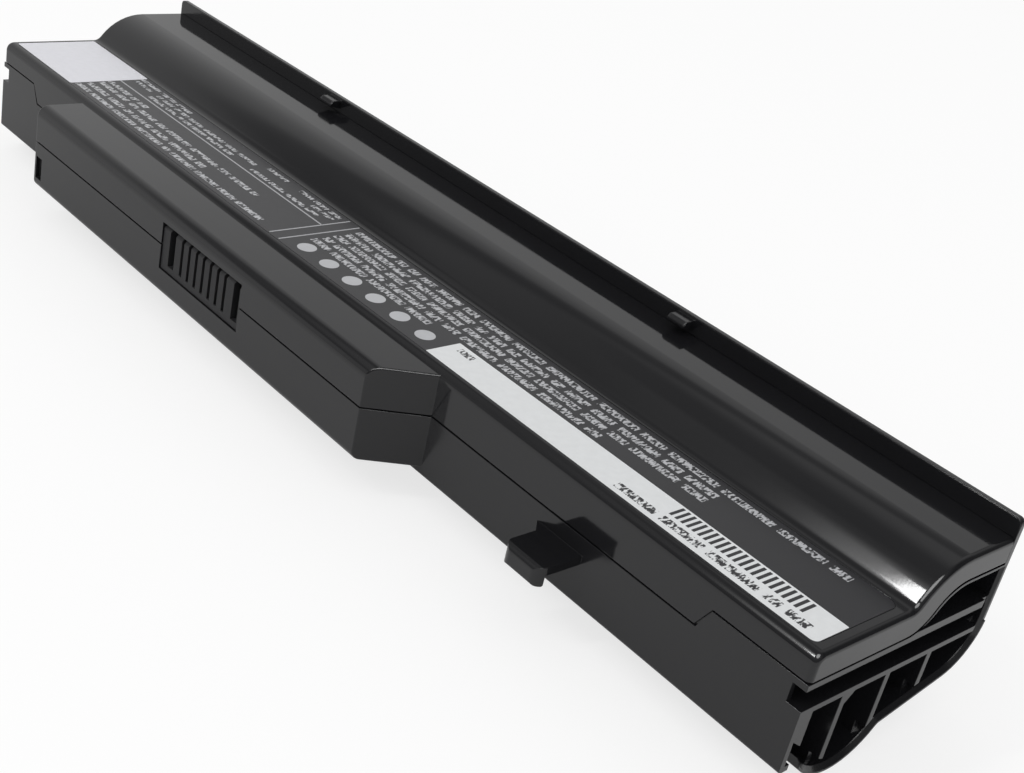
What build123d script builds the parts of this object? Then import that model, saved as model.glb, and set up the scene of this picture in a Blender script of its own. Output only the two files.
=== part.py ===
"""Laptop battery: two nested rows of cylindrical cells in a two-part moulded housing.

X runs along the pack from its middle, Y from the connector side to the back, Z up.
The origin lies on the flat label side, in the middle of the label. All sizes in millimetres.
"""

import os
from math import acos, atan2, cos, degrees, dist, hypot, radians, sqrt, tan

from build123d import *

os.makedirs("parts", exist_ok=True)

# Cells, in two rows that nest beside each other
cell_d = 18.3
cell_len = 65.0
cells_in_row = 3
cell_gap = 0.05
row_rise = 6.0
button_d = 7.2
button_h = 0.5
crimp_depth = 0.4
crimp_from_end = 4.2

# Straps, washers and paper at the cells' ends
strap_t = 0.3
strap_w = 8.0
tab_w = 2.0
tab_beyond = 0.6
washer_t = 0.25
washer_margin = 0.95
washer_gap = 0.3
paper_t = 0.5
paper_w = 12.0
end_clear = 0.3

# Housing walls and the gaps round the cells
wall = 0.9
cover_wall = 1.0
skirt_t = 1.1
cell_clear = 0.45
back_clear = 0.1
web_clear = 0.3
end_wall = 1.0
end_recess = 5.35
case_overhang = 0.2
seam_gap = 0.3
seam_depth = 0.4
fit_gap = 0.1
cradle_t = 1.2
cradle_below = 1.7

# Section of the housing, from the front wall and the flat label side
front_y = -10.0
front_room = 2.85
foam_room = 1.2
ledge_below = 6.2
front_bottom_r = 0.6
web_angle = 12.0
back_corner_r = 8.0
bulge_blend_r = 1.2
foot_before_middle = 1.09
riser_straight = 0.29
foot_r = 2.0
crest_r = 11.2
plateau_h = 5.3
lip_h = 8.1
lip_corner_r = 0.9
skirt_h = 3.9
plateau_skirt = 3.65
step_shift = 2.66
edge_r = 0.8
front_edge_r = 1.5

# Front skirt that reaches lower between two slanting steps
tongue_h = 7.35
tongue_left = -90.3
tongue_right = 87.9
tongue_step = 2.0

# Front block that carries the connector
block_out = 8.55
block_left = -73.2
block_right = 29.3
block_flare = 5.8
block_top = 0.75
block_bottom = 16.2
block_top_r = 2.0
block_bottom_r = 1.2
block_corner_r = 0.35
block_wall = 1.0
block_post = 3.7
key_groove_from_end = 0.8
key_groove_w = 2.1
key_groove_h = 4.2
key_groove_depth = 0.8
key_groove_rise = 1.8

# Connector and its contacts
plug_middle = -15.15
plug_w = 23.9
plug_top = 3.96
plug_h = 7.74
plug_depth = 5.9
plug_recess = 0.25
plug_gap = 0.12
window_over = 0.42
plug_bevel = 0.6
contact_count = 7
contact_pitch = 2.17
contact_offset = 0.65
contact_slot_w = 0.75
slot_floor = 1.1
slot_depth = 4.9
guide_slot_w = 1.75
guide_left = 8.95
guide_right = 10.55
leaf_t = 0.2
leaf_set_back = 1.3
leaf_margin = 0.7
leaf_side_gap = 0.05
tail_t = 0.3
tail_w = 0.5
tail_h = 0.8
tail_out = 0.6

# Protection board and what is soldered to it
board_t = 1.0
board_left = -68.0
board_right = 27.0
board_front_gap = 0.4
board_w = 8.2
standoff_d = 2.4
standoff_x = (-62.0, -38.0, 4.0, 22.0)
chip_gap = 1.0
left_chips = {
    "chemical_fuse": (4.0, 3.0, 1.2),
    "gauge_chip": (7.0, 7.0, 1.0),
    "sense_resistor": (6.3, 3.2, 0.7),
}
right_chips = {
    "charge_mosfet": (5.0, 6.0, 1.0),
    "discharge_mosfet": (5.0, 6.0, 1.0),
}

# Open ends of the lower case
rim_t = 0.7
shelf_t = 1.2
slot_h = 2.85
rib_t = 0.85
slot_break = 2.1
upright_t = 0.95
upright_y = (8.95, 17.85, 26.85)
gusset = 1.6
rib_relief = 1.5
mouth_bevel = 0.6
corner_post_w = 2.7
corner_post_front_h = 4.3
corner_post_back_h = 6.2
ledge_notch = 2.6

# Front hook and the catches on the lip
hook_x = 64.77
hook_w = 7.3
hook_drop = 2.53
hook_t = 1.3
hook_reach = 7.6
hook_lip_t = 1.3
hook_lip_h = 2.95
hook_round = 0.9
hook_corner_r = 1.6
hook_flare = 1.8
catch_x = (-48.1, 45.1)
catch_w = 3.5
catch_out = 2.35
catch_top = 0.5
catch_t = 1.5
catch_bevel = 0.5

# Label
label_t = 0.15
label_left_margin = 1.25
label_right_margin = 1.95
label_front = 1.7
label_w = 16.7
label_corner_r = 1.5

# Foam strips between the cells and the cover
foam_w = 6.0
foam_gap = 0.05
foam_end = 12.0

# Leads from the straps to the board: their runs along the front corner and where they meet the board
lead_d = 1.1
lead_bend = 2.0
lead_low = (4.2, -4.1)
lead_high = (2.6, -2.8)
lead_board_end = 3.0
lead_board_gap = 5.0

# Thermistor in the valley between the rows
bead_d = 2.2
bead_len = 5.0
bead_lead_from_plug = 3.0
bead_lead_d = 0.7
bead_lead_bend = 1.0
bead_lead_out = 2.2
bead_lead_corner = (3.0, -4.5)

# Derived places of the cells
cell_r = cell_d / 2
row_pitch = sqrt((cell_d + cell_gap) ** 2 - row_rise**2)
row_angle = degrees(atan2(row_rise, row_pitch))
front_row = (front_y + front_room + cell_r, -cover_wall - foam_room - cell_r)
back_row = (front_row[0] + row_pitch, front_row[1] + row_rise)
row_middle = ((front_row[0] + back_row[0]) / 2, (front_row[1] + back_row[1]) / 2)
cell_pitch = cell_len + strap_t
stack_len = cells_in_row * cell_pitch + strap_t
stack_x = -stack_len / 2
strap_x = [stack_x + place * cell_pitch for place in range(cells_in_row + 1)]
chamber_len = stack_len + 2 * (paper_t + end_clear)
chamber_half = chamber_len / 2
pocket_x = chamber_half + end_wall
half = pocket_x + end_recess
case_half = half + case_overhang

# Derived planes of the housing
back_inner_y = back_row[0] + cell_r + back_clear
back_y = back_inner_y + wall
middle_y = (front_y + back_y) / 2
cover_back_y = back_inner_y - fit_gap
bulge_r = cell_r + cell_clear + wall
seam_z = -skirt_h
tongue_z = -tongue_h
shelf_z = seam_z - shelf_t
rib_top = shelf_z - slot_h
front_bottom_z = front_row[1] - ledge_below
low_z = front_bottom_z - bulge_r
middle_z = (low_z + lip_h) / 2
ledge_depth = front_row[0] - front_y - sqrt(bulge_r**2 - ledge_below**2)
# The riser's slope lets the two arcs and the straight between them make up the plateau's height
step_r = foot_r + crest_r
riser_angle = degrees(acos((step_r - plateau_h) / hypot(step_r, riser_straight)) - atan2(riser_straight, step_r))
half_turn = tan(radians(riser_angle / 2))
foot_y = row_middle[0] - foot_before_middle
crest_y = foot_y + plateau_h / tan(radians(riser_angle))

# Derived planes of the block, the connector and the board
block_y = front_y - block_out
block_floor = block_wall - block_bottom
plug_y = block_y + plug_recess
plug_back = plug_y + plug_depth
plug_bottom = -plug_top - plug_h
board_y = block_y + block_wall + board_front_gap
board_mid_y = board_y + board_w / 2
lead_board_y = board_y + 0.55 * board_w


def face_on(plane, points, radii=None):
    """Closed face through the points on a plane, with each corner rounded by its own radius."""
    with BuildSketch(plane) as sketch:
        with BuildLine():
            if radii:
                FilletPolyline(*points, radius=radii, close=True)
            else:
                Polyline(*points, close=True)
        make_face()
    return sketch.sketch


def case_section(inset, plane=Plane.YZ):
    """Outer section of the lower case up to the lip's top, moved inwards by an inset."""
    web = radians(web_angle)
    back = back_y - inset
    web_z = back_row[1] - (cell_r + web_clear + wall - inset) / cos(web) - back_row[0] * tan(web)
    front = front_y + inset
    ledge_z = front_bottom_z + inset
    with BuildSketch(plane) as section:
        with BuildLine():
            FilletPolyline(
                (front, lip_h),
                (front, ledge_z),
                (front_row[0], ledge_z),
                (front_row[0], web_z + front_row[0] * tan(web)),
                (back, web_z + back * tan(web)),
                (back, lip_h),
                radius=(0, max(front_bottom_r - inset, 0), 0, 0, back_corner_r - inset, 0),
                close=True,
            )
        make_face()
        with Locations(front_row):
            bulge = Circle(bulge_r - inset)
        on_bulge = [v for v in section.vertices() if abs(dist((v.X, v.Y), front_row) - bulge.radius) < 1e-4]
        fillet(on_bulge, bulge_blend_r)
    return section.sketch


def seam_points(front_drop, back_drop):
    """Foot and crest corners of the seam between the shells, lowered by a drop at the front and the back."""
    foot = (foot_y + step_shift + back_drop, seam_z - front_drop)
    crest = (crest_y + step_shift + back_drop, plateau_h - plateau_skirt - back_drop)
    return foot, crest


seam_radii = (foot_r + skirt_h, crest_r - plateau_skirt)


def above_seam(front_drop, back_drop):
    """Section above the seam, up to the lip."""
    foot, crest = seam_points(front_drop, back_drop)
    points = (
        (front_y - wall, lip_h + wall),
        (front_y - wall, foot[1]),
        foot,
        crest,
        (back_inner_y, crest[1]),
        (back_inner_y, lip_h + wall),
    )
    return face_on(Plane.YZ, points, (0, 0, *seam_radii, 0, 0))


def cover_section(drop, front, back):
    """Section under the cover's top line, moved inwards by a drop and reaching down past the seam."""
    shift = drop * half_turn
    points = (
        (front, low_z),
        (front, -drop),
        (foot_y + shift, -drop),
        (crest_y + shift, plateau_h - drop),
        (back, plateau_h - drop),
        (back, low_z),
    )
    return face_on(Plane.YZ, points, (0, 0, foot_r + drop, crest_r - drop, 0, 0))


def tongue(gap):
    """Front view of the part of the front skirt that reaches below the seam at the ends."""
    points = (
        (tongue_left - tongue_step - gap, seam_z + gap),
        (tongue_left - gap, tongue_z - gap),
        (tongue_right + gap, tongue_z - gap),
        (tongue_right + tongue_step + gap, seam_z + gap),
    )
    return face_on(Plane.XZ.offset(-front_y), points)


def block_plan(inset, left, back):
    """Plan of the front block: square at its left end, slanting back to the wall at its right end."""
    slant = block_flare / block_out
    side = block_right - inset * sqrt(1 + slant**2)
    return (
        (block_left + left, back),
        (block_left + left, block_y + inset),
        (side + slant * inset, block_y + inset),
        (side + slant * (back - block_y), back),
    )


def below_seam():
    """Space under the cover's lower edge, without the tongue."""
    foot, crest = seam_points(0, 0)
    points = (
        (block_y, 2 * low_z),
        (block_y, seam_z),
        foot,
        crest,
        (back_y, crest[1]),
        (back_y, 2 * low_z),
    )
    with BuildPart() as space:
        extrude(face_on(Plane.YZ, points, (0, 0, *seam_radii, 0, 0)), amount=case_half, both=True)
        extrude(tongue(0), amount=-skirt_t, mode=Mode.SUBTRACT)
    return space.part


def seam_groove():
    """Shallow groove in the lower case's outer skin along the seam."""
    with BuildPart() as groove:
        extrude(above_seam(seam_gap, seam_gap + fit_gap), amount=case_half, both=True)
        extrude(tongue(seam_gap), amount=-wall)
        with Locations((0, front_y + seam_depth, 0)):
            Box(
                2 * (half - seam_depth),
                2 * (back_y - front_y),
                -4 * low_z,
                align=(Align.CENTER, Align.MIN, Align.CENTER),
                mode=Mode.SUBTRACT,
            )
    return groove.part


def pocket_mouth(side):
    """Open side of an end pocket: the skin is bevelled on its inside, and the ribs stop short of it."""
    end = Plane.YZ.offset(side * case_half)
    with BuildPart() as mouth:
        extrude(case_section(wall, end), amount=-side * rib_relief)
        with Locations((0, middle_y, shelf_z)):
            Box(
                4 * half,
                2 * (back_y - front_y),
                2 * lip_h,
                align=(Align.CENTER, Align.CENTER, Align.MIN),
                mode=Mode.SUBTRACT,
            )
        inner = case_section(wall, Plane.YZ.offset(side * (case_half - mouth_bevel)))
        loft((case_section(wall - mouth_bevel, end), inner), ruled=True)
        extrude(case_section(wall + rib_relief, end), amount=-side * rib_relief, mode=Mode.SUBTRACT)
        with Locations((0, front_y + ledge_depth, middle_z)):
            Box(
                4 * half,
                4 * ledge_depth,
                8 * bulge_r,
                align=(Align.CENTER, Align.MAX, Align.CENTER),
                mode=Mode.SUBTRACT,
            )
        with Locations((0, middle_y, plateau_h - plateau_skirt - rim_t)):
            Box(
                4 * half,
                2 * (back_y - front_y),
                2 * lip_h,
                align=(Align.CENTER, Align.CENTER, Align.MIN),
                mode=Mode.SUBTRACT,
            )
    return mouth.part


def end_pocket(side):
    """Hollow in one end of the lower case, less the ribs that stand in it."""
    plane = Plane.YZ.offset(side * pocket_x)
    depth = side * (case_half - pocket_x)
    with BuildPart() as pocket:
        extrude(case_section(wall, plane), amount=depth)
        extrude(above_seam(0, fit_gap + rim_t), amount=case_half, both=True, mode=Mode.SUBTRACT)
        with BuildSketch(plane):
            with Locations((middle_y, seam_z)):
                Rectangle(back_y - front_y, shelf_t, align=(Align.CENTER, Align.MAX))
            with Locations((middle_y, rib_top)):
                Rectangle(back_y - front_y, rib_t, align=(Align.CENTER, Align.MAX))
            with Locations(*[(front_y + y, rib_top) for y in upright_y]):
                Rectangle(upright_t, 2 * bulge_r, align=(Align.CENTER, Align.MAX))
            gusset_y = front_y + upright_y[0]
            with BuildLine():
                Polyline(
                    (gusset_y, rib_top - rib_t),
                    (gusset_y + upright_t / 2 + gusset, rib_top - rib_t),
                    (gusset_y, rib_top - rib_t - upright_t / 2 - gusset),
                    close=True,
                )
            make_face()
            with BuildLine():
                Polyline(
                    (front_y, rib_top),
                    (front_y + corner_post_w, rib_top),
                    (front_y + corner_post_w, rib_top - corner_post_back_h),
                    (front_y, rib_top - corner_post_front_h),
                    close=True,
                )
            make_face()
        extrude(amount=depth, mode=Mode.SUBTRACT)
    return pocket.part


def cradles():
    """Ribs on the floor of the lower case that carry the cells."""
    with BuildPart() as ribs:
        for cell in range(cells_in_row):
            for end in (-1, 1):
                x = (cell - (cells_in_row - 1) / 2) * cell_pitch + end * cell_len / 4
                extrude(case_section(wall / 2, Plane.YZ.offset(x)), amount=cradle_t / 2, both=True)
        with Locations((0, middle_y, front_row[1] - cradle_below)):
            Box(
                2 * half,
                2 * (back_y - front_y),
                -4 * low_z,
                align=(Align.CENTER, Align.CENTER, Align.MIN),
                mode=Mode.SUBTRACT,
            )
        with BuildSketch(Plane.YZ):
            with Locations(front_row, back_row):
                Circle(cell_r + fit_gap / 2)
        extrude(amount=half, both=True, mode=Mode.SUBTRACT)
    return ribs.part


def block_half(far_z, far_r):
    """One half of the front block, from the seam to its far side, rounded along its far edge and its ends."""
    with BuildPart() as block:
        plan = face_on(Plane.XY.offset(tongue_z), block_plan(0, 0, front_y + wall))
        extrude(plan, amount=far_z - tongue_z)
        far_side = block.faces().filter_by_position(Axis.Z, far_z - 1e-3, far_z + 1e-3)[0]
        fillet(far_side.edges().filter_by(Axis.X).sort_by(Axis.Y)[0], far_r)
        ends = block.faces().sort_by(Axis.X)
        for end in (ends[0], ends[-1]):
            seam_edges = end.edges().filter_by_position(Axis.Z, tongue_z - 1e-3, tongue_z + 1e-3)
            fillet(end.edges() - seam_edges - end.edges().group_by(Axis.Y)[-1], block_corner_r)
    return block.part


def cut_window():
    """Opening through the block's front wall round the connector."""
    with BuildPart() as opening:
        with Locations((plug_middle, plug_y, plug_bottom - plug_gap)):
            Box(
                plug_w + 2 * plug_gap,
                4 * block_wall,
                plug_h + plug_gap + window_over,
                align=(Align.CENTER, Align.CENTER, Align.MIN),
            )
    return opening.part


def hook():
    """Plate that stands out of the front wall and turns down at its end, flared on one side of its root."""
    top = tongue_z - seam_gap - hook_drop
    tip = front_y - hook_reach
    root = front_y + wall
    left = hook_x - hook_w / 2
    right = hook_x + hook_w / 2
    profile = (
        (root, top),
        (tip, top),
        (tip, top - hook_lip_h),
        (tip + hook_lip_t, top - hook_lip_h),
        (tip + hook_lip_t, top - hook_t),
        (root, top - hook_t),
    )
    profile_radii = (0, hook_round, hook_lip_t / 4, hook_lip_t / 4, hook_t / 4, 0)
    plan = (
        (left - hook_flare, root),
        (left - hook_flare, front_y),
        (left, front_y - hook_flare),
        (left, tip),
        (right, tip),
        (right, root),
    )
    with BuildPart() as plate:
        extrude(face_on(Plane.YZ.offset(hook_x), profile, profile_radii), amount=hook_w, both=True)
        outline = face_on(Plane.XY.offset(top), plan, (0, 0, 0, hook_corner_r, hook_corner_r, 0))
        extrude(outline, amount=-hook_lip_h, mode=Mode.INTERSECT)
    return plate.part


# Lower case: skin drawn round both rows of cells, cut at the seam, with ribbed open ends
with BuildPart() as lower_case:
    extrude(case_section(0), amount=case_half, both=True)
    extrude(above_seam(0, fit_gap), amount=case_half, both=True, mode=Mode.SUBTRACT)
    extrude(case_section(wall), amount=chamber_half, both=True, mode=Mode.SUBTRACT)
    # The ends stop short above the ribs, and the lip's corners are rounded
    with Locations((-case_half, middle_y, rib_top), (case_half, middle_y, rib_top)):
        Box(
            2 * case_overhang,
            2 * (back_y - front_y),
            2 * (lip_h - rib_top),
            align=(Align.CENTER, Align.CENTER, Align.MIN),
            mode=Mode.SUBTRACT,
        )
    lip_ends = lower_case.edges().filter_by(Axis.Y).group_by(Axis.Z)[-1]
    fillet(lip_ends, lip_corner_r)
    add(cradles())
    for side in (-1, 1):
        add(end_pocket(side), mode=Mode.SUBTRACT)
        add(pocket_mouth(side), mode=Mode.SUBTRACT)
        # The slot breaks out at the front corner
        with Locations((side * case_half, front_y, rib_top)):
            Box(
                2 * (slot_break + case_overhang),
                4 * wall,
                slot_h,
                align=(Align.CENTER, Align.CENTER, Align.MIN),
                mode=Mode.SUBTRACT,
            )
        with Locations((side * case_half, front_y + 2 * wall, front_bottom_z)):
            Box(
                2 * ledge_notch,
                ledge_depth - wall,
                4 * wall,
                align=(Align.CENTER, Align.MIN, Align.CENTER),
                mode=Mode.SUBTRACT,
            )

    # Lower half of the front block, open to the cells behind it
    add(block_half(-block_bottom, block_bottom_r))
    extrude(
        face_on(Plane.XY.offset(block_floor), block_plan(block_wall, block_post, front_y + 2 * wall)),
        amount=block_bottom,
        mode=Mode.SUBTRACT,
    )
    extrude(tongue(0), amount=-2 * wall, mode=Mode.SUBTRACT)
    add(seam_groove(), mode=Mode.SUBTRACT)
    with BuildSketch(Plane.XY.offset(tongue_z)):
        with BuildLine():
            Polyline(*block_plan(-seam_gap, -seam_gap, front_y + wall), close=True)
        make_face()
        with BuildLine():
            Polyline(*block_plan(seam_depth, seam_depth, front_y + 2 * wall), close=True)
        make_face(mode=Mode.SUBTRACT)
    extrude(amount=-seam_gap, mode=Mode.SUBTRACT)
    add(cut_window(), mode=Mode.SUBTRACT)
    with Locations((block_left + key_groove_from_end, block_y, key_groove_rise - block_bottom)):
        Box(
            key_groove_w,
            2 * key_groove_depth,
            key_groove_h,
            align=(Align.MIN, Align.CENTER, Align.MIN),
            mode=Mode.SUBTRACT,
        )
    with Locations(*[(x, board_mid_y, block_floor) for x in standoff_x]):
        Cylinder(
            standoff_d / 2,
            plug_bottom - board_t - block_floor,
            align=(Align.CENTER, Align.CENTER, Align.MIN),
        )

    add(hook())

    # Catches that stand forward from the lip over the plateau
    catch_z = lip_h - catch_top
    catch_tip = back_inner_y - catch_out
    catch_points = (
        (back_inner_y + wall / 2, catch_z),
        (catch_tip + catch_bevel, catch_z),
        (catch_tip, catch_z - catch_bevel),
        (catch_tip, catch_z - catch_t + catch_bevel),
        (back_inner_y, catch_z - catch_t),
        (back_inner_y + wall / 2, catch_z - catch_t),
    )
    for x in catch_x:
        extrude(face_on(Plane.YZ.offset(x), catch_points), amount=catch_w / 2, both=True)
lower_case.part.label = "lower_case"
export_step(lower_case.part, "parts/lower_case.step")

# Top cover: flat label side, S-shaped step and plateau, with skirts and the block's upper half
label_len = 2 * half - label_left_margin - label_right_margin
label_middle = ((label_left_margin - label_right_margin) / 2, front_y + label_front + label_w / 2)
with BuildPart() as top_cover:
    extrude(cover_section(0, front_y, cover_back_y), amount=half, both=True)
    front_edge = top_cover.edges().filter_by(Axis.X).group_by(Axis.Y)[0].sort_by(Axis.Z)[-1]
    fillet(front_edge, front_edge_r)
    end_edges = top_cover.faces().filter_by(Axis.X).edges()
    end_rims = end_edges - end_edges.group_by(Axis.Z)[0] - end_edges.group_by(Axis.Y)[-1]
    fillet(end_rims, edge_r)
    extrude(
        cover_section(cover_wall, front_y + skirt_t, cover_back_y - skirt_t),
        amount=half - skirt_t,
        both=True,
        mode=Mode.SUBTRACT,
    )
    add(below_seam(), mode=Mode.SUBTRACT)
    add(block_half(-block_top, block_top_r))
    extrude(
        face_on(Plane.XY.offset(tongue_z), block_plan(block_wall, block_wall, front_y + 2 * skirt_t)),
        amount=tongue_h - block_top - block_wall,
        mode=Mode.SUBTRACT,
    )
    add(cut_window(), mode=Mode.SUBTRACT)
    with BuildSketch(Plane.XY.offset(-label_t)):
        with Locations(label_middle):
            RectangleRounded(label_len + 2 * fit_gap, label_w + 2 * fit_gap, label_corner_r + fit_gap)
    extrude(amount=label_t, mode=Mode.SUBTRACT)
top_cover.part.label = "top_cover"
export_step(top_cover.part, "parts/top_cover.step")

# Label film in its shallow recess
with BuildPart() as label:
    with BuildSketch(Plane.XY.offset(-label_t)):
        with Locations(label_middle):
            RectangleRounded(label_len, label_w, label_corner_r)
    extrude(amount=label_t)
label.part.label = "label"
export_step(label.part, "parts/label.step")

# Connector housing: a comb of fins between the contact slots, with a wide guide slot at each end
contact_x0 = plug_middle + contact_offset - (contact_count - 1) / 2 * contact_pitch
contact_x = [contact_x0 + index * contact_pitch for index in range(contact_count)]
slot_z = plug_bottom + slot_floor
slot_back = plug_y + slot_depth
tail_z = slot_z + leaf_margin
with BuildPart() as connector_housing:
    with Locations((plug_middle, plug_y, plug_bottom)):
        Box(plug_w, plug_depth, plug_h, align=(Align.CENTER, Align.MIN, Align.MIN))
    chamfer(connector_housing.edges().filter_by(Axis.X).group_by(Axis.Y)[0].sort_by(Axis.Z)[-1], plug_bevel)
    with Locations(*[(x, plug_y, slot_z) for x in contact_x]):
        slot_align = (Align.CENTER, Align.MIN, Align.MIN)
        Box(contact_slot_w, slot_depth, plug_h, align=slot_align, mode=Mode.SUBTRACT)
    with Locations(*[(x, slot_back, tail_z) for x in contact_x]):
        Box(tail_w + fit_gap, plug_depth, tail_h + fit_gap, mode=Mode.SUBTRACT)
    with Locations((plug_middle - guide_left, plug_y, slot_z), (plug_middle + guide_right, plug_y, slot_z)):
        Box(guide_slot_w, slot_depth, plug_h, align=slot_align, mode=Mode.SUBTRACT)
connector_housing.part.label = "connector_housing"
export_step(connector_housing.part, "parts/connector_housing.step")

# Contact forks: two leaves from a base plate, with a tail that runs down behind the housing to the board
leaf_top = -plug_top - leaf_margin
leaf_x = contact_slot_w / 2 - leaf_side_gap
for index, x in enumerate(contact_x):
    with BuildPart() as contact:
        with BuildSketch(Plane.XY.offset(slot_z + leaf_margin / 2)):
            with Locations((x, slot_back)):
                Rectangle(2 * leaf_x, tail_t, align=(Align.CENTER, Align.MAX))
            with Locations((x - leaf_x, plug_y + leaf_set_back)):
                Rectangle(leaf_t, slot_depth - leaf_set_back, align=(Align.MIN, Align.MIN))
            with Locations((x + leaf_x, plug_y + leaf_set_back)):
                Rectangle(leaf_t, slot_depth - leaf_set_back, align=(Align.MAX, Align.MIN))
        extrude(amount=leaf_top - slot_z - leaf_margin / 2)
        with Locations((x, slot_back - tail_t, tail_z)):
            tail_len = plug_back + tail_out - slot_back + tail_t
            Box(tail_w, tail_len, tail_h, align=(Align.CENTER, Align.MIN, Align.CENTER))
        with Locations((x, plug_back + tail_out, plug_bottom)):
            Box(tail_w, tail_t, tail_z - plug_bottom, align=(Align.CENTER, Align.MAX, Align.MIN))
    contact.part.label = f"contact_{index + 1}"
    export_step(contact.part, f"parts/contact_{index + 1}.step")

# Protection board on its four bosses
with BuildPart() as protection_board:
    with Locations((board_left, board_y, plug_bottom)):
        Box(board_right - board_left, board_w, board_t, align=(Align.MIN, Align.MIN, Align.MAX))
protection_board.part.label = "protection_board"
export_step(protection_board.part, "parts/protection_board.step")

# Parts soldered to the board, in a row on each side of the connector
left_x = board_left + 2 * lead_board_end
right_x = plug_middle + plug_w / 2 + chip_gap
for chips, x in ((left_chips, left_x), (right_chips, right_x)):
    for name, (size_x, size_y, size_z) in chips.items():
        with BuildPart() as chip:
            with Locations((x, board_mid_y, plug_bottom)):
                Box(size_x, size_y, size_z, align=(Align.MIN, Align.CENTER, Align.MIN))
        x += size_x + chip_gap
        chip.part.label = name
        export_step(chip.part, f"parts/{name}.step")

# Cells: a sleeved can with a crimp near its positive end and a button
can_len = cell_len - button_h
crimp_x = can_len - crimp_from_end
cell_profile = (
    (0, 0),
    (0, cell_r),
    (crimp_x, cell_r),
    (crimp_x + crimp_depth, cell_r - crimp_depth),
    (crimp_x + 2 * crimp_depth, cell_r),
    (can_len, cell_r),
    (can_len, button_d / 2),
    (cell_len, button_d / 2),
    (cell_len, 0),
)
for row, (y, z) in enumerate((front_row, back_row)):
    for place in range(cells_in_row):
        number = row * cells_in_row + place + 1
        start = (strap_x[place] + strap_t, y, z)
        with BuildPart() as cell:
            profile = face_on(Plane(start, x_dir=(1, 0, 0), z_dir=(0, -1, 0)), cell_profile)
            revolve(profile, Axis(start, (1, 0, 0)))
        cell.part.label = f"cell_{number}"
        export_step(cell.part, f"parts/cell_{number}.step")

# Paper rings that keep each strap off the can round a positive button
for row, (y, z) in enumerate((front_row, back_row)):
    for place in range(cells_in_row):
        number = row * cells_in_row + place + 1
        with BuildPart() as cell_washer:
            with BuildSketch(Plane.YZ.offset(strap_x[place + 1] - button_h)):
                with Locations((y, z)):
                    RegularPolygon(cell_r - washer_margin, 8)
                    RegularPolygon(button_d / 2 + washer_gap, 8, major_radius=False, mode=Mode.SUBTRACT)
            extrude(amount=washer_t)
        cell_washer.part.label = f"cell_washer_{number}"
        export_step(cell_washer.part, f"parts/cell_washer_{number}.step")

# Nickel straps across both rows, each with a tab towards the front corner for its lead
lead_runs = [lead_low] * cells_in_row + [lead_high]
for number, (x, run) in enumerate(zip(strap_x, lead_runs), start=1):
    run_y = front_y + run[0] - front_row[0]
    run_z = run[1] - front_row[1]
    with BuildPart() as strap:
        with BuildSketch(Plane.YZ.offset(x)):
            with Locations(row_middle):
                SlotCenterToCenter(cell_d + cell_gap, strap_w, rotation=row_angle)
            with Locations(Pos(*front_row) * Rot(0, 0, degrees(atan2(run_z, run_y)))):
                Rectangle(sqrt(run_y**2 + run_z**2) + tab_beyond, tab_w, align=(Align.MIN, Align.CENTER))
        extrude(amount=strap_t)
    strap.part.label = f"strap_{number}"
    export_step(strap.part, f"parts/strap_{number}.step")

# Paper plates outside the end straps
for name, x in (("end_insulator_left", stack_x - paper_t), ("end_insulator_right", -stack_x)):
    with BuildPart() as end_insulator:
        with BuildSketch(Plane.YZ.offset(x)):
            with Locations(row_middle):
                SlotCenterToCenter(cell_d + cell_gap, paper_w, rotation=row_angle)
        extrude(amount=paper_t)
    end_insulator.part.label = name
    export_step(end_insulator.part, f"parts/{name}.step")

# Leads: along the front corner, forward into the block and down to the board
lead_board_x = (
    board_left + lead_board_end,
    strap_x[1] - lead_board_gap,
    board_right - lead_board_end - lead_board_gap,
    board_right - lead_board_end,
)
for number, (x, run, board_x) in enumerate(zip(strap_x, lead_runs, lead_board_x), start=1):
    start_x = x + strap_t if board_x > x else x
    run_y = front_y + run[0]
    with BuildPart() as lead:
        with BuildLine() as lead_path:
            FilletPolyline(
                (start_x, run_y, run[1]),
                (board_x, run_y, run[1]),
                (board_x, lead_board_y, run[1]),
                (board_x, lead_board_y, plug_bottom),
                radius=lead_bend,
            )
        with BuildSketch(Plane(lead_path.line @ 0, z_dir=lead_path.line % 0)):
            RegularPolygon(lead_d / 2, 6)
        sweep()
    lead.part.label = f"lead_{number}"
    export_step(lead.part, f"parts/lead_{number}.step")

# Thermistor bead in the valley between the rows, and its lead over the front row to the board
turn_x = plug_middle - plug_w / 2 - bead_lead_from_plug
bead_x = turn_x + bead_lead_out + bead_len / 2
bead_rise = sqrt((cell_r + bead_d / 2 + fit_gap) ** 2 - ((cell_d + cell_gap) / 2) ** 2)
bead_at = Pos(*row_middle) * Rot(0, 0, row_angle) * Pos(0, bead_rise)
bead_y = bead_at.position.X
bead_z = bead_at.position.Y
with BuildPart() as thermistor:
    with BuildSketch(Plane.YZ.offset(bead_x)):
        with Locations((bead_y, bead_z)):
            Circle(bead_d / 2)
    extrude(amount=bead_len / 2, both=True)
thermistor.part.label = "thermistor"
export_step(thermistor.part, "parts/thermistor.step")

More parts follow.
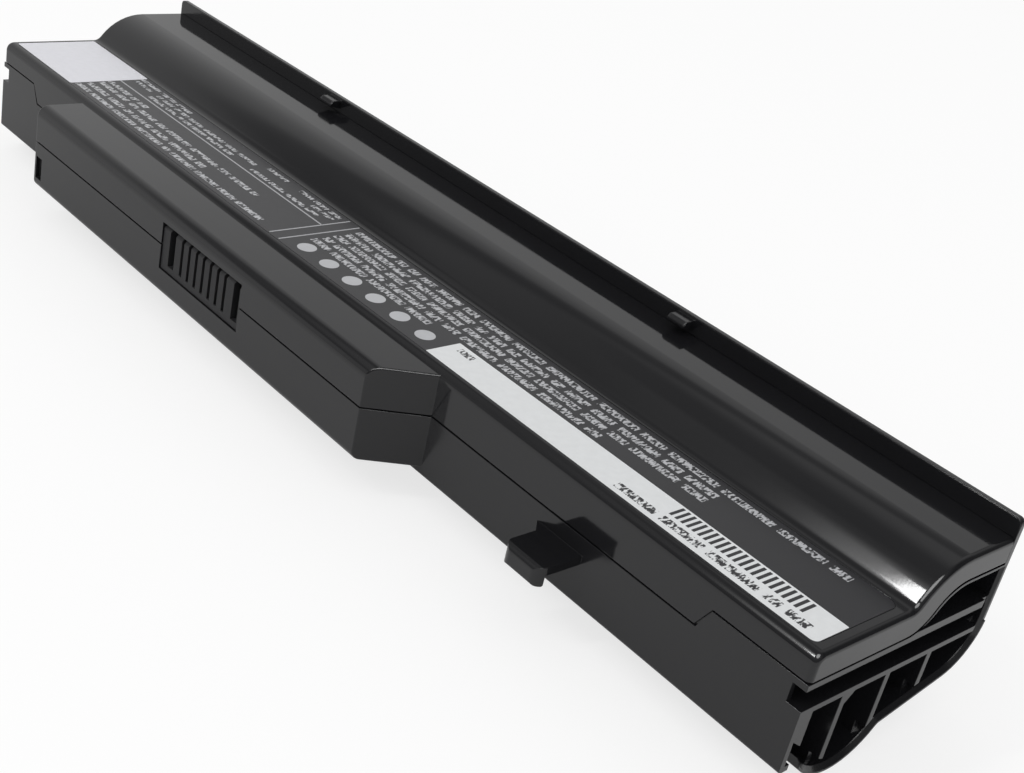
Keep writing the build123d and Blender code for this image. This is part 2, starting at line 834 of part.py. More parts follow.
over_z = (front_row[1] + cell_r - cover_wall) / 2
corner_y = front_y + bead_lead_corner[0]
with BuildPart() as thermistor_lead:
    with BuildLine() as bead_path:
        FilletPolyline(
            (bead_x - bead_len / 2, bead_y, bead_z),
            (turn_x, bead_y, bead_z),
            (turn_x, bead_y, over_z),
            (turn_x, corner_y, over_z),
            (turn_x, corner_y, bead_lead_corner[1]),
            (turn_x, lead_board_y, bead_lead_corner[1]),
            (turn_x, lead_board_y, plug_bottom),
            radius=bead_lead_bend,
        )
    with BuildSketch(Plane(bead_path.line @ 0, z_dir=bead_path.line % 0)):
        RegularPolygon(bead_lead_d / 2, 6)
    sweep()
thermistor_lead.part.label = "thermistor_lead"
export_step(thermistor_lead.part, "parts/thermistor_lead.step")

# Foam strips under the cover: two over the front row beside the thermistor's lead, one over the back row
plateau_flat_y = crest_y + cover_wall * half_turn + (crest_r - cover_wall) * half_turn
foam_limit = chamber_half - foam_end
front_foam = (front_row[0] - foam_w / 2, front_row[1] + cell_r + foam_gap, -cover_wall)
back_foam_y = max(back_row[0] - foam_w / 2, plateau_flat_y)
back_foam = (back_foam_y, back_row[1] + cell_r + foam_gap, plateau_h - cover_wall)
foam_strips = {
    "foam_front_left": (-foam_limit, turn_x - foam_w, front_foam),
    "foam_front_right": (turn_x + foam_w, foam_limit, front_foam),
    "foam_back": (-foam_limit, foam_limit, back_foam),
}
for name, (x0, x1, (y, bottom, top)) in foam_strips.items():
    with BuildPart() as foam:
        with Locations((x0, y, bottom)):
            Box(x1 - x0, foam_w, top - bottom, align=Align.MIN)
    foam.part.label = name
    export_step(foam.part, f"parts/{name}.step")
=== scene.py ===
"""Looks of a laptop battery pack: moulded housing, printed label film, terminal block and the cells inside.

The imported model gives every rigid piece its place. This script gives each of them a finish, lays the print
on the label film, shapes the foam strips, and sets up the studio and the camera. Sizes are in millimetres
until they reach a mesh, a lamp or the camera, where MM turns them into metres.
"""

import math

import bpy
import numpy as np
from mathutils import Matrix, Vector


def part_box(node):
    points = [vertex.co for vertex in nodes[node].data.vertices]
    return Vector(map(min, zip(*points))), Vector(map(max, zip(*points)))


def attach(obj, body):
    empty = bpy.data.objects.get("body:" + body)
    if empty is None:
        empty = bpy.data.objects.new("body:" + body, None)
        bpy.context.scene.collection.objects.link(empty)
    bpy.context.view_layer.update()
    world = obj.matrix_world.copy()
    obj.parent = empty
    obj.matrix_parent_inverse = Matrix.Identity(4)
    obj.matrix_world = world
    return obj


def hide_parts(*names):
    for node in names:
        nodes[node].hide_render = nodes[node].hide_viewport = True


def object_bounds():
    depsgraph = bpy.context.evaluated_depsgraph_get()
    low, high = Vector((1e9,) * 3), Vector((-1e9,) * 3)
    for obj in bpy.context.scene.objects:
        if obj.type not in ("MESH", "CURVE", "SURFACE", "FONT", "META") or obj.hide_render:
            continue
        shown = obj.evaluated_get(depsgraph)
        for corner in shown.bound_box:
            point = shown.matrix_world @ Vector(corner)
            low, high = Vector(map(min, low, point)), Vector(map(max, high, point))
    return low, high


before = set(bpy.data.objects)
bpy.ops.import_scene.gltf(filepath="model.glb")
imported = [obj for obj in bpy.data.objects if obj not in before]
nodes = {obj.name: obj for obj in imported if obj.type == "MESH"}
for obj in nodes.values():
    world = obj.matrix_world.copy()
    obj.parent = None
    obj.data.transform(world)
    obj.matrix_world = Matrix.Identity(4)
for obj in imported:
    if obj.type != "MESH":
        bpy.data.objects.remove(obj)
cad_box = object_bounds()

MM = 0.001

# Camera: where it stands, how it is turned about X, Y and Z, and its lens on a 36 mm wide sensor
CAMERA_SPOT = (173.52, -142.44, 98.63)
CAMERA_TURN = (62.143, -11.559, 49.226)
CAMERA_LENS = 53.586
SENSOR_WIDTH = 36.0
CAMERA_CLIP = (10.0, 20000.0)

# Studio: a white sweep, and a room that is bright behind and on the left and dim overhead, in front and on
# the far right. Mirrors also show a dark beam between back wall and ceiling, a panel over the camera, and the
# glow round a strip lamp that leans to the left in front
FLOOR_REACH = 4000.0
FLOOR_GAP = 0.02
FLOOR_WHITE = "#F4F4F4"
FLOOR_SHADE = "#959595"
FLOOR_GLOW = 0.74
MIRROR_GLOW = 0.20
MIRROR_FADE = (-80.0, 60.0)
ROOM_LIGHT = 0.90
BACK_LIGHT = 0.85
LEFT_LIGHT = 1.00
OVERHEAD = 0.42
FRONT_LOW = 0.28
FAR_RIGHT = 0.12
FRONT_BAND = 0.20
BEAM_SHADE = 0.42
BEAM_HAZE = 0.18
BEAM_ACROSS = (-0.662, 0.297, -0.689)
CEILING_PANEL = 9.0
PANEL_TOWARD = (0.30, -0.37, 0.88)
PANEL_SPREAD = (24.0, 17.0)
LAMP_SPOT = (-112.4, -353.7, 426.6)
LAMP_AIM = (102.5, 12.0, 3.0)
LAMP_LEAN = 18.9
LAMP_SIZE = (19.0, 190.0)
LAMP_WATTS = 0.40
LAMP_GLOW = 4.0

# Rear lip: the heights between which its edges' rounding grows
LIP_FOOT = 6.2
LIP_TOP = 7.2

# Moulded and printed surfaces: the depth of the plastic's sink waves, and of its grain and the film's peel
SINK_DEPTH = 0.03
FINE_DEPTH = 0.01

# Foam strips: points round the section and along the strip, the powers of its curves, and the share of its
# size kept at the ends
FOAM_AROUND = 48
FOAM_ALONG = 61
FOAM_POWER = 6
FOAM_END_POWER = 60
FOAM_END_WIDTH = 0.97
FOAM_END_HEIGHT = 0.70

# Label print: ink thickness, and the fields in the frame's X and Y
INK = 0.02
FILM_LOW, FILM_HIGH = (np.array(corner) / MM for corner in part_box("label"))
BLANK_SQUARE_RIGHT = -81.5
SQUARE_MARGIN = 0.2
SQUARE_CORNER = 0.25
STRIP_LEFT = 29.3
STRIP_TOP = -1.7
STRIP_MARGIN = 0.1
STRIP_CORNERS = (0.15, 0.15, 0.15, 0.9)
DIVIDER_X = (-12.6, -9.9)
RULE_Y = 2.3
LINE_WIDTH = 0.3
LINE_MARGIN = 0.3
LINE_CORNER = 0.1
DISC_FIRST = (-5.7, -5.3)
DISC_PITCH = 6.22
DISC_COUNT = 6
DISC_R = 1.6
BAR_FIRST = 76.0
BAR_PITCH = 1.0
BAR_COUNT = 23
BAR_WIDTH = 0.5
BAR_Y = (-4.9, -2.1)
BAR_CORNER = 0.02

# Words: the corner of their bars, and the width of a sign and of a space as shares of a sign's height
WORD_CORNER = 0.08
SIGN_WIDTH = 0.8
SPACE_WIDTH = 0.7


def linear(hex_colour):
    """Turns an sRGB hex colour into linear RGBA."""
    coded = np.array([int(hex_colour[i:i + 2], 16) for i in (1, 3, 5)]) / 255.0
    low = coded / 12.92
    high = ((coded + 0.055) / 1.055) ** 2.4
    return (*np.where(coded <= 0.04045, low, high).tolist(), 1.0)


def per_mm(size):
    """Texture scale at which one cell of a pattern is that many millimetres wide in Object coordinates."""
    return 1.0 / (size * MM)


def add_node(tree, kind, sockets=None, **settings):
    """Adds a node, sets its properties, and fills each named socket with a value or a link to an output."""
    made = tree.nodes.new(kind)
    for name, value in settings.items():
        setattr(made, name, value)
    for name, value in (sockets or {}).items():
        if isinstance(value, bpy.types.NodeSocket):
            tree.links.new(value, made.inputs[name])
        else:
            made.inputs[name].default_value = value
    return made


def new_material(name):
    """An empty node material with its output, and the Object coordinates that its patterns read."""
    material = bpy.data.materials.new(name)
    material.use_nodes = True
    tree = material.node_tree
    tree.nodes.clear()
    output = add_node(tree, "ShaderNodeOutputMaterial")
    place = add_node(tree, "ShaderNodeTexCoord").outputs["Object"]
    return material, tree, output, place


def moulded_abs(name, colour, worn, roughness, edge, grain, lip_edge=None):
    """Black injection-moulded ABS: a dark body under a semi-gloss skin that mirrors the room.

    The tool's fine spark-eroded grain breaks the gloss a little, the skin sinks in long shallow waves along
    the moulding, handling leaves patches that are slightly duller, and moulded edges are rounded, along the
    rear lip's top by the lip edge where one is given.
    """
    material, tree, output, place = new_material(name)
    patches = add_node(tree, "ShaderNodeTexNoise", {"Vector": place, "Scale": per_mm(22.0), "Detail": 4.0})
    specks = add_node(tree, "ShaderNodeTexNoise", {"Vector": place, "Scale": per_mm(0.9), "Detail": 2.0})
    # The real grain is about 0.05 mm, too fine to show, so it is drawn at 0.3 mm
    fine = add_node(tree, "ShaderNodeTexNoise", {"Vector": place, "Scale": per_mm(0.3), "Detail": 2.0})
    stretched = add_node(tree, "ShaderNodeMapping", {"Vector": place, "Scale": (0.06, 1.0, 1.0)})
    waves = add_node(
        tree,
        "ShaderNodeTexNoise",
        {"Vector": stretched.outputs["Vector"], "Scale": per_mm(4.0), "Detail": 1.0},
    )
    tint = add_node(
        tree,
        "ShaderNodeMix",
        {"Factor": patches.outputs["Fac"], "A": linear(colour), "B": linear(worn)},
        data_type="RGBA",
    )
    dulling = add_node(
        tree,
        "ShaderNodeMapRange",
        {
            "Value": patches.outputs["Fac"],
            "From Min": 0.3,
            "From Max": 0.75,
            "To Min": roughness,
            "To Max": roughness + 0.04,
        },
    )
    rough = add_node(
        tree,
        "ShaderNodeMath",
        {0: specks.outputs["Fac"], 1: 0.03, 2: dulling.outputs["Result"]},
        operation="MULTIPLY_ADD",
    )
    rounded = add_node(tree, "ShaderNodeBevel", {"Radius": edge * MM}, samples=4)
    if lip_edge:
        height = add_node(tree, "ShaderNodeSeparateXYZ", {"Vector": place}).outputs["Z"]
        reach = add_node(
            tree,
            "ShaderNodeMapRange",
            {
                "Value": height,
                "From Min": LIP_FOOT * MM,
                "From Max": LIP_TOP * MM,
                "To Min": edge * MM,
                "To Max": lip_edge * MM,
            },
        )
        tree.links.new(reach.outputs["Result"], rounded.inputs["Radius"])
    sunk = add_node(
        tree,
        "ShaderNodeBump",
        {
            "Height": waves.outputs["Fac"],
            "Normal": rounded.outputs["Normal"],
            "Strength": 0.5,
            "Distance": SINK_DEPTH * MM,
        },
    )
    grained = add_node(
        tree,
        "ShaderNodeBump",
        {
            "Height": fine.outputs["Fac"],
            "Normal": sunk.outputs["Normal"],
            "Strength": grain,
            "Distance": FINE_DEPTH * MM,
        },
    )
    skin = add_node(
        tree,
        "ShaderNodeBsdfPrincipled",
        {
            "Base Color": tint.outputs["Result"],
            "Roughness": rough.outputs["Value"],
            "Normal": grained.outputs["Normal"],
            "IOR": 1.45,
        },
    )
    tree.links.new(skin.outputs["BSDF"], output.inputs["Surface"])
    return material


def coated_film(name, colour, roughness, texture, bare=None):
    """Printed polyester film or its inks: an even colour under a satin coat that shows a faint orange-peel.

    With a bare colour the ink is fine print: upright strokes of about 0.25 mm, with bare film between them.
    """
    material, tree, output, place = new_material(name)
    peel = add_node(tree, "ShaderNodeTexNoise", {"Vector": place, "Scale": per_mm(1.2), "Detail": 3.0})
    ink = add_node(tree, "ShaderNodeHueSaturation", {"Color": linear(colour)})
    if bare:
        # Cells of 0.38 mm, drawn out along Y and cut where the noise crosses its middle, leave such strokes
        upright = add_node(tree, "ShaderNodeMapping", {"Vector": place, "Scale": (1.0, 0.42, 0.0)})
        strokes = add_node(
            tree,
            "ShaderNodeTexNoise",
            {"Vector": upright.outputs["Vector"], "Scale": per_mm(0.38), "Detail": 1.0},
        )
        covered = add_node(
            tree,
            "ShaderNodeMapRange",
            {"Value": strokes.outputs["Fac"], "From Min": 0.44, "From Max": 0.53},
        )
        print_tone = add_node(
            tree,
            "ShaderNodeMix",
            {"Factor": covered.outputs["Result"], "A": linear(bare), "B": linear(colour)},
            data_type="RGBA",
        )
        tree.links.new(print_tone.outputs["Result"], ink.inputs["Color"])
    shade = add_node(
        tree,
        "ShaderNodeMapRange",
        {"Value": peel.outputs["Fac"], "To Min": 0.94, "To Max": 1.06},
    )
    tree.links.new(shade.outputs["Result"], ink.inputs["Value"])
    rough = add_node(
        tree,
        "ShaderNodeMapRange",
        {"Value": peel.outputs["Fac"], "To Min": roughness - 0.04, "To Max": roughness + 0.04},
    )
    bump = add_node(
        tree,
        "ShaderNodeBump",
        {"Height": peel.outputs["Fac"], "Strength": texture, "Distance": FINE_DEPTH * MM},
    )
    coat = add_node(
        tree,
        "ShaderNodeBsdfPrincipled",
        {
            "Base Color": ink.outputs["Color"],
            "Roughness": rough.outputs["Result"],
            "Normal": bump.outputs["Normal"],
            "IOR": 1.45,
        },
    )
    tree.links.new(coat.outputs["BSDF"], output.inputs["Surface"])
    return material


def speckled(name, colour, other, size, roughness, relief, metallic=0.0):
    """A matt or metal stock with a two-tone grain of the given size, and the same grain as relief."""
    material, tree, output, place = new_material(name)
    grain = add_node(tree, "ShaderNodeTexNoise", {"Vector": place, "Scale": per_mm(size), "Detail": 3.0})
    tint = add_node(
        tree,
        "ShaderNodeMix",
        {"Factor": grain.outputs["Fac"], "A": linear(colour), "B": linear(other)},
        data_type="RGBA",
    )
    rough = add_node(
        tree,
        "ShaderNodeMapRange",
        {"Value": grain.outputs["Fac"], "To Min": roughness - 0.06, "To Max": roughness + 0.06},
    )
    bump = add_node(
        tree,
        "ShaderNodeBump",
        {"Height": grain.outputs["Fac"], "Strength": 0.4, "Distance": relief * MM},
    )
    stock = add_node(
        tree,
        "ShaderNodeBsdfPrincipled",
        {
            "Base Color": tint.outputs["Result"],
            "Roughness": rough.outputs["Result"],
            "Normal": bump.outputs["Normal"],
            "Metallic": metallic,
        },
    )
    tree.links.new(stock.outputs["BSDF"], output.inputs["Surface"])
    return material


def white_sweep(name):
    """White studio paper: it glows to the camera and keeps the shadow, and fades to the left in mirrors."""
    material, tree, output, place = new_material(name)
    path = add_node(tree, "ShaderNodeLightPath").outputs
    mirrored = add_node(
        tree,
        "ShaderNodeMath",
        {0: path["Is Glossy Ray"], 1: path["Is Transmission Ray"]},
        operation="MAXIMUM",
    )
    along = add_node(tree, "ShaderNodeSeparateXYZ", {"Vector": place}).outputs["X"]
    fade_start, fade_full = MIRROR_FADE
    toward_right = add_node(
        tree,
        "ShaderNodeMapRange",
        {"Value": along, "From Min": fade_start * MM, "From Max": fade_full * MM, "To Max": MIRROR_GLOW},
    )
    mirror_level = add_node(
        tree,
        "ShaderNodeMath",
        {0: mirrored.outputs["Value"], 1: toward_right.outputs["Result"]},
        operation="MULTIPLY",
    )
    level = add_node(
        tree,
        "ShaderNodeMix",
        {"Factor": path["Is Camera Ray"], "A": mirror_level.outputs["Value"], "B": FLOOR_GLOW},
    )
    glow = add_node(tree, "ShaderNodeEmission", {"Strength": level.outputs["Result"]})
    tone = add_node(
        tree,
        "ShaderNodeMix",
        {"Factor": path["Is Camera Ray"], "A": linear(FLOOR_WHITE), "B": linear(FLOOR_SHADE)},
        data_type="RGBA",
    )
    paper = add_node(tree, "ShaderNodeBsdfDiffuse", {"Color": tone.outputs["Result"]})
    both = add_node(tree, "ShaderNodeAddShader", {0: glow.outputs["Emission"], 1: paper.outputs["BSDF"]})
    tree.links.new(both.outputs["Shader"], output.inputs["Surface"])
    return material


def put_mesh(name, points, faces, material, smooth=False):
    """Puts points in millimetres and faces into a new mesh object at the origin."""
    mesh = bpy.data.meshes.new(name)
    mesh.from_pydata((points.reshape(-1, 3) * MM).tolist(), [], faces)
    mesh.polygons.foreach_set("use_smooth", np.full(len(mesh.polygons), smooth))
    mesh.materials.append(material)
    mesh.update()
    made = bpy.data.objects.new(name, mesh)
    bpy.context.scene.collection.objects.link(made)
    return made


def printed_fields(name, boxes, rounding, material, steps=1, layer=0):
    """Ink fields on the film: each box (x0, x1, y0, y1) is a rounded rectangle, one ink layer thick.

    The outline runs round the four corners, from back right to front right by the left, as arcs of their
    rounding radius. It is carried up from the film, or from the inks below, to the ink's face, so each field
    is a closed plate: a bottom, a wall of quads and a top.
    """
    boxes = np.array(boxes, float)
    corner = np.repeat(np.arange(4), steps + 1)
    turn = (corner + np.tile(np.linspace(0.0, 1.0, steps + 1), 4)) * math.pi / 2
    right = np.isin(corner, (0, 3))
    upper = np.isin(corner, (0, 1))
    arc = np.broadcast_to(rounding, 4)[corner]
    x = np.where(right, boxes[:, 1:2] - arc, boxes[:, 0:1] + arc) + arc * np.cos(turn)
    y = np.where(upper, boxes[:, 3:4] - arc, boxes[:, 2:3] + arc) + arc * np.sin(turn)
    height = FILM_HIGH[2] + INK * np.array([layer, layer + 1])
    count, around = x.shape
    points = np.empty((count, 2, around, 3))
    points[..., 0] = x[:, None, :]
    points[..., 1] = y[:, None, :]
    points[..., 2] = height[None, :, None]
    ring = np.arange(around)
    start = np.arange(count)[:, None] * 2 * around
    wall = np.stack([ring, (ring + 1) % around, (ring + 1) % around + around, ring + around], axis=-1)
    walls = (start[:, :, None] + wall[None]).reshape(-1, 4)
    tops = start + around + ring
    bottoms = start + ring[::-1]
    faces = walls.tolist() + tops.tolist() + bottoms.tolist()
    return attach(put_mesh(name, points, faces, material), "root")


def word_bars(rows, seed):
    """Bars that stand for the words of printed lines: each row (x0, x1, y, height) is cut into words.

    Each word is two to nine signs long, drawn for the whole row at once. Running sums of the lengths and of
    the spaces give the places, and what passes the row's end is cut there or dropped.
    """
    draw = np.random.default_rng(seed)
    found = []
    for x0, x1, y, height in rows:
        most = int((x1 - x0) / height) + 1
        width = SIGN_WIDTH * height * draw.integers(2, 10, most)
        left = x0 + np.concatenate([[0.0], np.cumsum(width + SPACE_WIDTH * height)[:-1]])
        right = np.minimum(left + width, x1)
        row = np.stack([left, right, np.full(most, y - height / 2), np.full(most, y + height / 2)], axis=-1)
        found.append(row[right - left > height])
    return np.concatenate(found)


def foam_strip(name, material):
    """A die-cut foam strip: a flat section with swollen sides, carried along X between the solid's ends.

    The section is a superellipse of power six in Y and Z, so its faces stay flat where they are squeezed and
    its long sides bulge. At both ends it draws in along a superellipse of power sixty in X and six across.
    """
    low, high = (np.array(corner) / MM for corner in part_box(name))
    middle = (low + high) / 2
    half = (high - low) / 2
    around = np.linspace(0.0, 2 * math.pi, FOAM_AROUND, endpoint=False)
    along = np.linspace(-1.0, 1.0, FOAM_ALONG)
    drawn = (1.0 - np.abs(along) ** FOAM_END_POWER) ** (1 / FOAM_POWER)
    section = np.stack([np.cos(around), np.sin(around)])
    section = np.sign(section) * np.abs(section) ** (2 / FOAM_POWER)
    points = np.empty((FOAM_ALONG, FOAM_AROUND, 3))
    points[..., 0] = (middle[0] + half[0] * along)[:, None]
    width = FOAM_END_WIDTH + (1.0 - FOAM_END_WIDTH) * drawn[:, None]
    height = FOAM_END_HEIGHT + (1.0 - FOAM_END_HEIGHT) * drawn[:, None]
    points[..., 1] = middle[1] + half[1] * width * section[0]
    points[..., 2] = middle[2] + half[2] * height * section[1]
    row = np.arange(FOAM_ALONG - 1)[:, None] * FOAM_AROUND
    ring = np.arange(FOAM_AROUND)
    turned = (ring + 1) % FOAM_AROUND
    further = row + FOAM_AROUND
    quads = np.stack([row + ring, further + ring, further + turned, row + turned], axis=-1).reshape(-1, 4)
    last_ring = ring + (FOAM_ALONG - 1) * FOAM_AROUND
    ends = [ring.tolist(), last_ring[::-1].tolist()]
    made = put_mesh(f"{name}_soft", points, quads.tolist() + ends, material, smooth=True)
    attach(made, "root")
    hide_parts(name)
    return made


# Finishes of the CAD nodes, by the record's slots
finishes = {
    "case_plastic": moulded_abs(
        "black_abs_lower_case", "#18181A", "#1B1B1D", 0.13, edge=0.15, grain=0.25, lip_edge=0.42
    ),
    "cover_plastic": moulded_abs("black_abs_top_cover", "#18181A", "#1B1B1D", 0.04, edge=0.12, grain=0.08),
    "label_film": coated_film("charcoal_polyester_film", "#27272A", 0.30, 0.15),
    "connector_plastic": moulded_abs(
        "grey_glass_filled_pbt", "#171719", "#1D1D1F", 0.52, edge=0.06, grain=0.5
    ),
    "contact_brass": speckled("tinned_brass_strip", "#C9B37A", "#B39A5E", 0.4, 0.28, 0.004, metallic=1.0),
    "circuit_board": speckled("green_solder_mask_laminate", "#1C5A3A", "#17492F", 0.8, 0.32, 0.01),
    "chip_resin": speckled("black_moulding_epoxy", "#1A1A1B", "#232324", 0.15, 0.62, 0.006),
    "ceramic_white": speckled("white_alumina", "#D9D8D2", "#CECCC4", 0.2, 0.42, 0.004),
    "cell_wrap": coated_film("green_pvc_shrink_wrap", "#2F7F5B", 0.26, 0.35),
    "barley_paper": speckled("grey_barley_paper", "#B9B4A6", "#A49E8E", 0.5, 0.85, 0.03),
    "nickel": speckled("rolled_nickel_strip", "#C4C2BC", "#B4B2AB", 0.25, 0.30, 0.004, metallic=1.0),
    "foam": speckled("grey_cell_foam", "#4A4A4C", "#38383A", 0.35, 0.92, 0.08),
    "thermistor_epoxy": coated_film("black_epoxy_bead", "#202022", 0.24, 0.4),
    "lead_black": coated_film("black_pvc_insulation", "#1B1B1D", 0.38, 0.3),
    "lead_yellow": coated_film("yellow_pvc_insulation", "#C9A21F", 0.38, 0.3),
    "lead_white": coated_film("white_pvc_insulation", "#D4D3CF", 0.38, 0.3),
    "lead_red": coated_film("red_pvc_insulation", "#A32721", 0.38, 0.3),
}
for piece in nodes.values():
    piece.data.materials[0] = finishes[piece.data.materials[0].name.split(".")[0]]

# Foam strips between the cells and the cover
for strip in ("foam_front_left", "foam_front_right", "foam_back"):
    foam_strip(strip, finishes["foam"])

# Print on the label film
white_ink = coated_film("white_label_ink", "#EDEDF3", 0.34, 0.12)
silver_ink = coated_film("silver_white_label_ink", "#EDEFF0", 0.34, 0.12)
pale_ink = coated_film("pale_grey_label_ink", "#B4B5B8", 0.36, 0.12)
dark_ink = coated_film("charcoal_label_ink", "#2A2A2D", 0.36, 0.12)
disc_ink = coated_film("light_grey_label_ink", "#C2C3C6", 0.36, 0.12)
fine_print = coated_film("pale_grey_fine_print", "#C4C5C8", 0.33, 0.12, bare="#27272A")
dark_print = coated_film("charcoal_fine_print", "#2A2A2D", 0.34, 0.12, bare="#EDEFF0")
film_left, film_front = FILM_LOW[:2]
film_right, film_back = FILM_HIGH[:2]
square_y = (film_front + SQUARE_MARGIN, film_back - SQUARE_MARGIN)
square = [(film_left + SQUARE_MARGIN, BLANK_SQUARE_RIGHT, *square_y)]
printed_fields("label_white_square", square, SQUARE_CORNER, white_ink)
strip_field = [(STRIP_LEFT, film_right - STRIP_MARGIN, film_front + STRIP_MARGIN, STRIP_TOP)]
printed_fields("label_silver_strip", strip_field, STRIP_CORNERS, silver_ink, steps=8)
lines = [(BLANK_SQUARE_RIGHT, DIVIDER_X[0], RULE_Y - LINE_WIDTH / 2, RULE_Y + LINE_WIDTH / 2)]
line_ends = (film_front + LINE_MARGIN, film_back - LINE_MARGIN)
lines += [(x - LINE_WIDTH / 2, x + LINE_WIDTH / 2, *line_ends) for x in DIVIDER_X]
printed_fields("label_lines", lines, LINE_CORNER, pale_ink)
disc_x = DISC_FIRST[0] + DISC_PITCH * np.arange(DISC_COUNT)
disc_y = (DISC_FIRST[1] - DISC_R, DISC_FIRST[1] + DISC_R)
discs = [(x - DISC_R, x + DISC_R, *disc_y) for x in disc_x]
printed_fields("label_discs", discs, DISC_R, disc_ink, steps=10)

# Rows of print: where each starts and ends, its height on the film, and the height of its signs
word_rows = [
    (-81.5, -63.0, 7.0, 0.95),
    (-36.0, -30.0, 7.0, 0.95),
    (-26.0, -14.0, 7.0, 0.95),
    (-81.0, -75.0, 5.4, 0.95),
    (-72.5, -38.0, 5.4, 0.95),
    (-20.0, -14.0, 5.4, 0.95),
    (-72.5, -43.0, 3.7, 0.95),
    (-36.5, -16.0, 3.7, 0.95),
    (-81.2, -67.0, 0.0, 1.2),
    (-81.2, -26.0, -1.9, 1.2),
    (-81.2, -39.0, -4.4, 1.3),
    (-81.2, -17.0, -6.7, 1.2),
    (-8.3, 97.0, 6.7, 1.4),
    (-8.3, 76.0, 4.4, 1.4),
    (-8.3, 76.0, 2.2, 1.4),
    (-8.3, 58.0, -0.1, 1.4),
    (-8.3, 25.0, -2.3, 1.4),
]
printed_fields("label_words", word_bars(word_rows, seed=7), WORD_CORNER, fine_print)
bars = [(x, x + BAR_WIDTH, *BAR_Y) for x in BAR_FIRST + BAR_PITCH * np.arange(BAR_COUNT)]
strip_words = word_bars([(31.0, 35.5, -3.2, 1.3), (68.0, 101.0, -6.5, 1.5)], seed=11)
printed_fields("label_bars", bars, BAR_CORNER, dark_ink, layer=1)
printed_fields("label_strip_words", strip_words, WORD_CORNER, dark_print, layer=1)

# Studio floor, room and lamp
floor_z = cad_box[0][2] / MM - FLOOR_GAP
floor_side = FLOOR_REACH / 2 * np.array([[-1, -1], [1, -1], [1, 1], [-1, 1]])
floor_points = np.column_stack([floor_side, np.full(4, floor_z)])
put_mesh("studio_floor", floor_points, [[0, 1, 2, 3]], white_sweep("white_paper_sweep"))

world = bpy.data.worlds.new("studio_room")
bpy.context.scene.world = world
world.use_nodes = True
room = world.node_tree
room.nodes.clear()
room_output = add_node(room, "ShaderNodeOutputWorld")
facing = add_node(room, "ShaderNodeTexCoord").outputs["Generated"]
toward = dict(add_node(room, "ShaderNodeSeparateXYZ", {"Vector": facing}).outputs.items())
for way, direction in (("beam", BEAM_ACROSS), ("panel", PANEL_TOWARD)):
    along = {0: facing, 1: Vector(direction).normalized()}
    toward[way] = add_node(room, "ShaderNodeVectorMath", along, operation="DOT_PRODUCT").outputs["Value"]
off_beam = add_node(room, "ShaderNodeMath", {0: toward["beam"]}, operation="ABSOLUTE")
toward["beam"] = off_beam.outputs["Value"]

# Steps of the room's brightness: the way each follows, where it starts and is full, and its level at both
panel_edge, panel_core = np.cos(np.radians(PANEL_SPREAD)).tolist()
room_steps = {
    "front_height": ("Z", 0.0, 0.4, FRONT_LOW, OVERHEAD),
    "front_left": ("X", -0.5, -0.8, 0.0, 1.0),
    "back_right": ("X", -0.2, 0.45, BACK_LIGHT, FAR_RIGHT),
    "back_left": ("X", -0.7, -0.9, 0.0, 1.0),
    "front_to_back": ("Y", 0.10, 0.45, 0.0, 1.0),
    "beam_core": ("beam", 0.11, 0.02, 0.0, BEAM_SHADE),
    "beam_haze": ("beam", 0.32, 0.05, 0.0, BEAM_HAZE),
    "beam_height": ("Z", 0.30, 0.45, 0.0, 1.0),
    "band_right": ("X", -0.60, -0.52, 0.0, FRONT_BAND),
    "band_front": ("Y", -0.15, -0.30, 0.0, 1.0),
    "band_height": ("Z", 0.42, 0.58, 0.0, 1.0),
    "lamp_left": ("X", -0.50, -0.37, 0.0, 1.0),
    "lamp_right": ("X", -0.20, -0.32, 0.0, 1.0),
    "lamp_front": ("Y", -0.30, -0.62, 0.0, LAMP_GLOW),
    "lamp_height": ("Z", 0.45, 0.60, 0.0, 1.0),
    "panel": ("panel", panel_edge, panel_core, 0.0, CEILING_PANEL),
}
level = {}
for name, (way, start, full, low, high) in room_steps.items():
    limits = {"Value": toward[way], "From Min": start, "From Max": full, "To Min": low, "To Max": high}
    step = add_node(room, "ShaderNodeMapRange", limits, interpolation_type="SMOOTHSTEP")
    level[name] = step.outputs["Result"]

# The front and back walls, both lit from the left, and the beam that darkens them
for side, plain in (("front", "front_height"), ("back", "back_right")):
    lit_side = {"Factor": level[f"{side}_left"], "A": level[plain], "B": LEFT_LIGHT}
    level[side] = add_node(room, "ShaderNodeMix", lit_side).outputs["Result"]
both_walls = {"Factor": level["front_to_back"], "A": level["front"], "B": level["back"]}
walls = add_node(room, "ShaderNodeMix", both_walls).outputs["Result"]
beam = add_node(room, "ShaderNodeMath", {0: level["beam_core"], 1: level["beam_haze"]}, operation="ADD")
beam = add_node(room, "ShaderNodeMath", {0: beam.outputs[0], 1: level["beam_height"]}, operation="MULTIPLY")
clear = add_node(room, "ShaderNodeMath", {0: 1.0, 1: beam.outputs[0]}, operation="SUBTRACT")
walls = add_node(room, "ShaderNodeMath", {0: walls, 1: clear.outputs[0]}, operation="MULTIPLY").outputs[0]

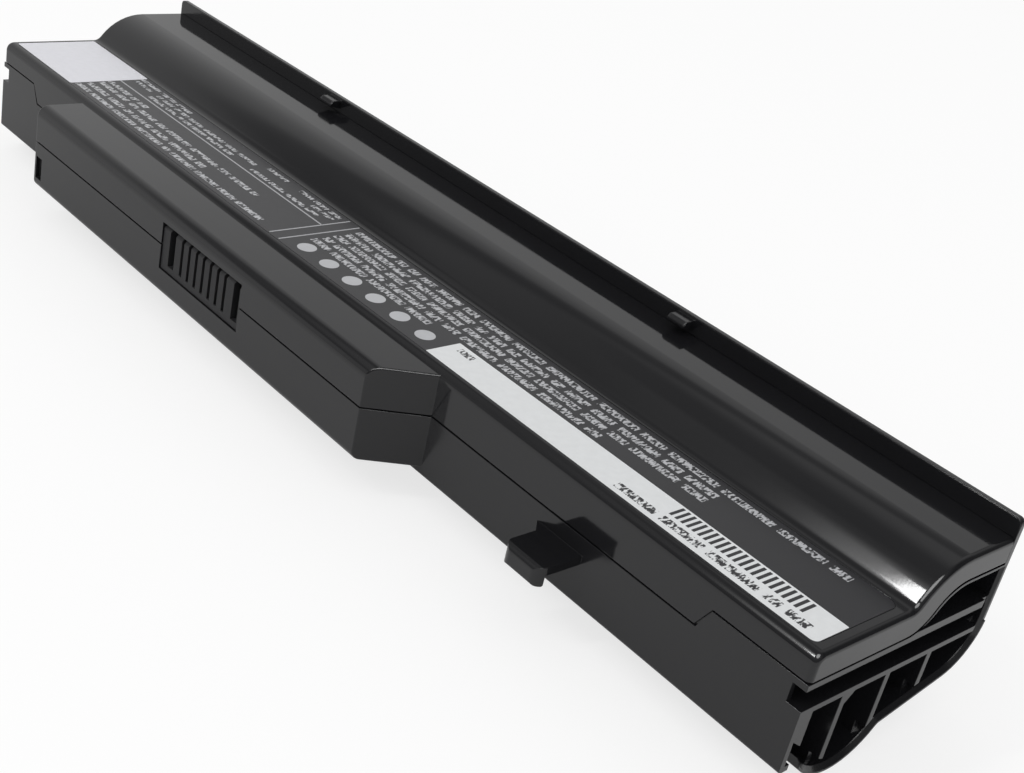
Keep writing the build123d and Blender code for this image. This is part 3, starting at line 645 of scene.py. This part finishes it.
# Bright zones: each is the product of its steps, and the lamp's glow starts slowly from the left
zones = (
    ("band_right", "band_front", "band_height"),
    ("lamp_left", "lamp_left", "lamp_right", "lamp_front", "lamp_height"),
    ("panel",),
)
for first, *others in zones:
    zone = level[first]
    for other in others:
        zone = add_node(room, "ShaderNodeMath", {0: zone, 1: level[other]}, operation="MULTIPLY").outputs[0]
    walls = add_node(room, "ShaderNodeMath", {0: walls, 1: zone}, operation="ADD").outputs[0]

# Mirrors see the walls, matt surfaces an even light, and the camera plain white
path = add_node(room, "ShaderNodeLightPath").outputs
mirrored = add_node(
    room, "ShaderNodeMath", {0: path["Is Glossy Ray"], 1: path["Is Transmission Ray"]}, operation="MAXIMUM"
)
lit = add_node(room, "ShaderNodeMix", {"Factor": path["Is Diffuse Ray"], "A": 1.0, "B": ROOM_LIGHT})
seen = {"Factor": mirrored.outputs[0], "A": lit.outputs["Result"], "B": walls}
strength = add_node(room, "ShaderNodeMix", seen).outputs["Result"]
backdrop = add_node(room, "ShaderNodeBackground", {"Strength": strength})
room.links.new(backdrop.outputs["Background"], room_output.inputs["Surface"])

lamp_data = bpy.data.lights.new("strip_lamp", "AREA")
lamp_data.shape = "RECTANGLE"
lamp_data.size, lamp_data.size_y = np.array(LAMP_SIZE) * MM
lamp_data.energy = LAMP_WATTS
lamp = bpy.data.objects.new("strip_lamp", lamp_data)
bpy.context.scene.collection.objects.link(lamp)
lamp.location = np.array(LAMP_SPOT) * MM
lamp_line = Vector(LAMP_AIM) - Vector(LAMP_SPOT)
lamp.rotation_euler = lamp_line.to_track_quat("-Z", "Y").to_euler()
lamp.rotation_euler.rotate_axis("Z", math.radians(LAMP_LEAN))

# Camera at the photograph's place
camera_data = bpy.data.cameras.new("camera")
camera_data.lens = CAMERA_LENS
camera_data.sensor_width = SENSOR_WIDTH
camera_data.sensor_fit = "HORIZONTAL"
camera_data.clip_start, camera_data.clip_end = np.array(CAMERA_CLIP) * MM
camera = bpy.data.objects.new("camera", camera_data)
bpy.context.scene.collection.objects.link(camera)
camera.location = np.array(CAMERA_SPOT) * MM
camera.rotation_euler = np.radians(CAMERA_TURN)
bpy.context.scene.camera = camera
bpy.context.scene.view_settings.view_transform = "Standard"
